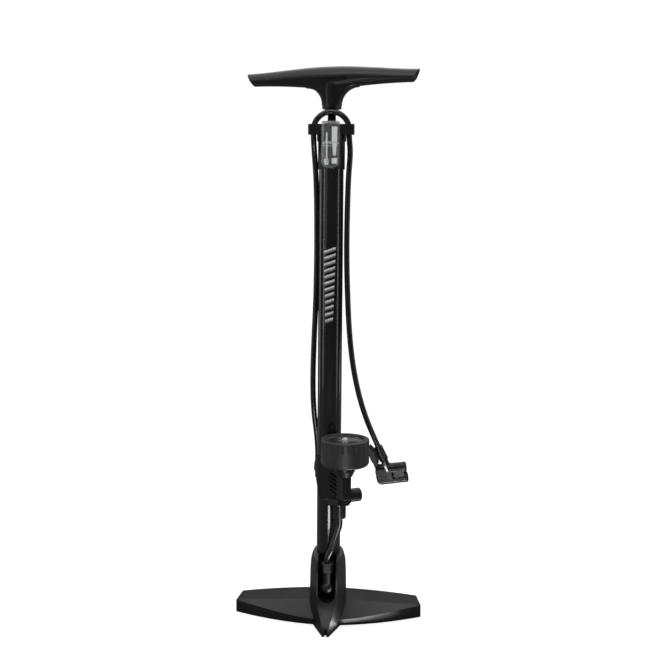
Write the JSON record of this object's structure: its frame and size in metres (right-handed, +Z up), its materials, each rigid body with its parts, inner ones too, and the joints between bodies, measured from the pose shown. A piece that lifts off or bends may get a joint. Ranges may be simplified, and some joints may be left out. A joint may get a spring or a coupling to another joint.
{
  "type": "floor bike pump",
  "caption": "Upright floor pump for bicycle tyres: T handle, winged base, gauge on a side bracket, hose looped over the cap to a lever-lock head, clear adapter case.",
  "frame": {"origin": "on the floor, on the axis of the barrel", "axes": "+Z up along the barrel, -Y towards the nose of the base, +X to the right seen from the front"},
  "size_m": [0.222, 0.1025, 0.6416],
  "materials": {
    "barrel_paint": "gloss black enamel on steel",
    "base_plastic": "satin moulded nylon",
    "black_plastic": "satin moulded plastic",
    "handle_plastic": "satin moulded plastic",
    "cap_insert": "satin grey plastic",
    "nut_metal": "black plated steel",
    "hose_rubber": "smooth, slightly glossy",
    "seal_rubber": "matt",
    "rod_black": "black oxide, polished",
    "rod_chrome": "polished",
    "bright_steel": "zinc plated",
    "brass_fitting": "machined",
    "alloy_collar": "black anodised",
    "clear_plastic": "clear moulded plastic",
    "lens_plastic": "clear polished plastic",
    "dial_face": "printed scale",
    "pointer_red": "red enamel",
    "white_plastic": "white moulded plastic",
    "piston_plastic": "natural acetal"
  },
  "bodies": {
    "root": {"base": "base_plastic", "base_screws": "bright_steel", "foot_valve_block": "black_plastic", "foot_valve_seals": "seal_rubber", "check_valve_spring": "bright_steel", "base_hose_nut": "nut_metal", "barrel_tube": "barrel_paint", "base_hose": "hose_rubber", "bracket_hose_nut": "nut_metal", "gauge_bracket": "black_plastic", "clamp_screw": "bright_steel", "clamp_nut": "bright_steel", "stub_plug": "black_plastic", "gauge_cup": "black_plastic", "gauge_bezel": "black_plastic", "gauge_lens": "lens_plastic", "gauge_dial": "dial_face", "gauge_socket": "brass_fitting", "gauge_bourdon_tube": "brass_fitting", "gauge_movement": "brass_fitting", "hose_port": "black_plastic", "main_hose": "hose_rubber", "barrel_cap": "black_plastic", "rod_bush": "black_plastic", "hose_collar": "alloy_collar", "head_body": "black_plastic", "schrader_nozzle_cap": "black_plastic", "presta_nozzle_cap": "black_plastic", "schrader_grommet": "seal_rubber", "presta_grommet": "seal_rubber", "lever_pin": "nut_metal"},
    "piston": {"piston_core": "piston_plastic", "piston_cup_seal": "seal_rubber"},
    "handle": {"piston_rod": "rod_black", "piston_nut": "bright_steel", "handle": "handle_plastic", "handle_end_caps": "cap_insert", "handle_pin": "bright_steel"},
    "pointer": {"gauge_pointer": "pointer_red"},
    "lever": {"lock_lever": "black_plastic"},
    "head_plungers": {"head_plungers": "white_plastic"},
    "check_ball": {"check_valve_ball": "bright_steel"},
    "case": {"accessory_case": "clear_plastic", "cone_adapter": "white_plastic", "ball_needle": "rod_chrome", "presta_adapter": "white_plastic"},
    "case_lid": {"case_lid": "clear_plastic"}
  },
  "joints": [
    {"name": "plunger_slide", "type": "slide", "parent": "root", "child": "piston", "axis": [0, 0, 1], "range_m": [0, 0.44]},
    {"name": "handle_spin", "type": "hinge", "parent": "piston", "child": "handle", "pos_m": [0, 0, 0.6], "axis": [0, 0, 1], "continuous": true},
    {"name": "pointer_turn", "type": "hinge", "parent": "root", "child": "pointer", "pos_m": [0.01981, -0.04063, 0.212], "axis": [0, 0, -1], "range_deg": [0, 270], "stiffness_Nm_per_rad": 0.00002},
    {"name": "lever_flip", "type": "hinge", "parent": "root", "child": "lever", "pos_m": [0.06115, -0.00211, 0.17178], "axis": [-0.1537, -0.9838, -0.0927], "range_deg": [0, 85]},
    {"name": "plunger_push", "type": "slide", "parent": "root", "child": "head_plungers", "axis": [0.9707, -0.1678, 0.172], "range_m": [0, 0.0012]},
    {"name": "check_valve_lift", "type": "slide", "parent": "root", "child": "check_ball", "axis": [0, 0, -1], "range_m": [0, 0.0015], "stiffness_N_per_m": 50, "springref_m": -0.001, "deforming": ["check_valve_spring"]},
    {"name": "case_slide", "type": "slide", "parent": "root", "child": "case", "axis": [0, 0, 1], "range_m": [0, 0.06]},
    {"name": "lid_lift", "type": "slide", "parent": "case", "child": "case_lid", "axis": [0, 0, 1], "range_m": [0, 0.03]}
  ],
  "couplings": [
    {"joint": "plunger_push", "follows": "lever_flip", "m_per_rad": 0.0008}
  ]
}
